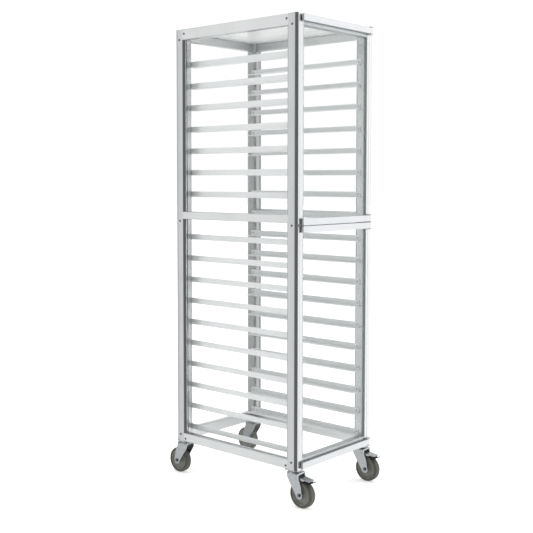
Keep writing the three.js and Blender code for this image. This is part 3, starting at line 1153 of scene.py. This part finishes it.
    def build(self) -> list[Piece]:
        """Makes the whole castor.

        Returns:
            Its pieces, with the brake's where the castor has one.
        """
        made = [self.plate_piece(), self.race_piece(), self.fork_piece(), self.axle_piece()]
        made += self.wheel_pieces()
        if self.trails < 0:
            made += self.brake_pieces()
        return made


@dataclass
class CarriedNodes:
    """The CAD nodes that keep their shape and take a better finish."""

    finishes: Finishes

    def build(self) -> list[Piece]:
        """Dresses each node by its kind.

        Returns:
            The dressed objects.
        """
        f = self.finishes
        groups: dict[Material, list[str]] = {
            f.side_rail: [f"{s}_{r}_rail" for s in ("left", "right") for r in ("top", "bottom", "mid")],
            f.cross_rail: ["front_top_rail", "front_bottom_rail"],
            f.rear_rail: ["rear_top_rail", "rear_bottom_rail"],
            f.door_rail: [f"{d}_door_{s}_rail" for d in ("upper", "lower") for s in ("top", "bottom")],
            f.clear: [f"{s}_{r}_sheet" for s in ("left", "right") for r in ("upper", "lower")]
            + ["rear_sheet"],
            f.pane: ["upper_door_pane", "lower_door_pane"],
            f.roof: ["roof_sheet"],
            f.zinc: [f"{h}_hinge_{k}" for h in ("top", "mid", "bottom") for k in ("bracket", "pin")],
            f.catch: ["seam_catch"],
        }
        return [dressed(name, finish) for finish, names in groups.items() for name in names]


# ---------------------------------------------------------------- studio


@dataclass(frozen=True)
class Lobe:
    """A soft-edged stretch of the room's wall that is darker or brighter than the rest.

    It fades in between two cosines of the angle from its middle.
    """

    start: float
    end: float
    strength: float


@dataclass(frozen=True)
class Studio:
    """A pale floor, a bright room that is darker behind the camera, two soft lights and two cards."""

    camera_mm: Point3 = (-2812.0, -2400.0, 1197.0)
    heading_deg: float = 48.18
    tilt_deg: float = 3.2
    focal_px: float = 926.9
    centre_px: Point2 = (251.3, 231.5)
    frame_px: float = 533.0
    sensor_mm: float = 36.0
    floor_glow: float = 0.45
    dark_wall: Lobe = Lobe(0.24, 0.56, 0.17)
    bright_wall: Lobe = Lobe(0.55, 0.9, 1.55)
    upward_stretch: float = 1.2
    backdrop: float = 1.05

    def camera(self) -> None:
        """Places the camera at the rack's viewing angle."""
        data = bpy.data.cameras.new("view_camera")
        data.sensor_width = self.sensor_mm
        data.lens = self.focal_px * self.sensor_mm / self.frame_px
        half = self.frame_px / 2
        data.shift_x = (half - self.centre_px[0]) / self.frame_px
        data.shift_y = (self.centre_px[1] - half) / self.frame_px
        data.clip_start, data.clip_end = 0.05, 100
        made = bpy.data.objects.new("view_camera", data)
        made.location = Vector(self.camera_mm) * MM
        heading, tilt = math.radians(self.heading_deg), math.radians(self.tilt_deg)
        forward = Vector(
            (math.sin(heading) * math.cos(tilt), math.cos(heading) * math.cos(tilt), -math.sin(tilt))
        )
        made.rotation_euler = forward.to_track_quat("-Z", "Y").to_euler()
        bpy.context.scene.collection.objects.link(made)
        bpy.context.scene.camera = made

    def floor(self) -> None:
        """Lays a wide pale floor, which the metal doesn't reflect."""
        mesh = bpy.data.meshes.new("studio_floor")
        bm = bmesh.new()
        bmesh.ops.create_circle(bm, cap_ends=True, radius=40, segments=64)
        bm.to_mesh(mesh)
        bm.free()
        mat = bpy.data.materials.new("pale_floor")
        mat.use_nodes = True
        shader = mat.node_tree.nodes["Principled BSDF"]
        plug(shader, {"Base Color": linear("#F4F4F4"), "Roughness": 0.9, "Specular IOR Level": 0.1})
        plug(shader, {"Emission Color": (1, 1, 1, 1), "Emission Strength": self.floor_glow})
        mesh.materials.append(mat)
        made = bpy.data.objects.new("studio_floor", mesh)
        bpy.context.scene.collection.objects.link(made)
        made.visible_glossy = False

    def world(self) -> None:
        """Lights the room: darker behind the camera, brighter to its right, white where it is seen."""
        world = bpy.data.worlds.new("studio_room")
        world.use_nodes = True
        tree = world.node_tree
        tree.nodes.clear()
        place = node(tree, "ShaderNodeTexCoord")
        heading = math.radians(self.heading_deg)
        behind = (-math.sin(heading), -math.cos(heading), 0.0)
        right = (math.cos(heading), -math.sin(heading), 0.0)
        flat = node(
            tree,
            "ShaderNodeVectorMath",
            {"operation": "MULTIPLY"},
            {0: place.outputs["Generated"], 1: (1.0, 1.0, self.upward_stretch)},
        )
        unit = node(tree, "ShaderNodeVectorMath", {"operation": "NORMALIZE"}, {0: flat.outputs[0]})
        shares = []
        for lobe, middle in ((self.dark_wall, behind), (self.bright_wall, right)):
            toward = node(
                tree, "ShaderNodeVectorMath", {"operation": "DOT_PRODUCT"}, {0: unit.outputs[0], 1: middle}
            )
            share = node(
                tree,
                "ShaderNodeMapRange",
                {"interpolation_type": "SMOOTHSTEP"},
                {
                    "Value": toward.outputs["Value"],
                    "From Min": lobe.start,
                    "From Max": lobe.end,
                    "To Min": 1.0,
                    "To Max": lobe.strength,
                },
            )
            shares.append(share.outputs[0])
        room = node(tree, "ShaderNodeMath", {"operation": "MULTIPLY"}, {0: shares[0], 1: shares[1]})
        seen = node(tree, "ShaderNodeLightPath")
        strength = node(
            tree,
            "ShaderNodeMix",
            {"data_type": "FLOAT"},
            {0: seen.outputs["Is Camera Ray"], 2: room.outputs[0], 3: self.backdrop},
        )
        shade = node(
            tree, "ShaderNodeBackground", {}, {"Color": (1, 1, 1, 1), "Strength": strength.outputs[0]}
        )
        node(tree, "ShaderNodeOutputWorld", {}, {"Surface": shade.outputs[0]})
        bpy.context.scene.world = world

    def card(self, name: str, ends: tuple[Point2, Point2], height: float, strength: float) -> None:
        """Stands a grey card that only reflections see, to darken the metal inside the rack.

        Args:
            name: the card's name.
            ends: its two lower corners' X and Y, in metres.
            height: its height, in metres.
            strength: its brightness in reflections.
        """
        (x0, y0), (x1, y1) = ends
        mesh = bpy.data.meshes.new(name)
        corners = [(x0, y0, -1.0), (x1, y1, -1.0), (x1, y1, height), (x0, y0, height)]
        mesh.from_pydata(corners, [], [(0, 1, 2, 3)])
        mat = bpy.data.materials.new(f"{name}_grey")
        mat.use_nodes = True
        mat.node_tree.nodes.clear()
        glow = node(mat.node_tree, "ShaderNodeEmission", {}, {"Color": (1, 1, 1, 1), "Strength": strength})
        node(mat.node_tree, "ShaderNodeOutputMaterial", {}, {"Surface": glow.outputs[0]})
        mesh.materials.append(mat)
        made = bpy.data.objects.new(name, mesh)
        bpy.context.scene.collection.objects.link(made)
        made.visible_camera = made.visible_diffuse = made.visible_shadow = made.visible_transmission = False

    def softbox(self, name: str, at: Point3, aim: Point3, size: tuple[float, float], power: float) -> None:
        """Adds one rectangular soft light.

        Args:
            name: the light's name.
            at: its place, in metres.
            aim: the point that it faces, in metres.
            size: its width and height, in metres.
            power: its power, in watts.
        """
        data = bpy.data.lights.new(name, "AREA")
        data.shape, data.size, data.size_y, data.energy = "RECTANGLE", size[0], size[1], power
        made = bpy.data.objects.new(name, data)
        made.location = Vector(at)
        made.rotation_euler = (Vector(aim) - Vector(at)).to_track_quat("-Z", "Y").to_euler()
        made.visible_glossy = False
        bpy.context.scene.collection.objects.link(made)

    def build(self) -> None:
        """Makes the camera, the floor, the room, the lights and the cards."""
        self.camera()
        self.floor()
        self.world()
        self.softbox("front_right_softbox", (3.4, -3.6, 2.2), (0, 0, 0.9), (2.6, 2.6), 40)
        self.softbox("top_softbox", (-0.4, 0.2, 4.2), (0, 0, 0.9), (3.0, 3.0), 60)
        self.card("rear_card", ((-0.48, 0.62), (0.22, 0.62)), 3.0, 0.5)
        self.card("right_card", ((0.42, -0.34), (0.42, 0.45)), 3.0, 0.78)
        bpy.context.scene.view_settings.view_transform = "Standard"


def main() -> None:
    """Builds the studio and the rack."""
    logging.basicConfig(level=logging.INFO, format="%(name)s: %(message)s")
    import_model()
    Studio().build()
    finishes = Finishes()
    parts: list[Piece] = CarriedNodes(finishes).build()
    for side in Side:
        parts += SideLadder(side, finishes).build()
    parts += FrameScrews(finishes).build()
    parts += DoorSeal(finishes).build()
    for corner in Corner:
        parts += Castor(corner, finishes).build()
    for part in parts:
        LOG.info("%s: %d faces", part.name, len(part.data.polygons))


if __name__ == "__main__":
    main()
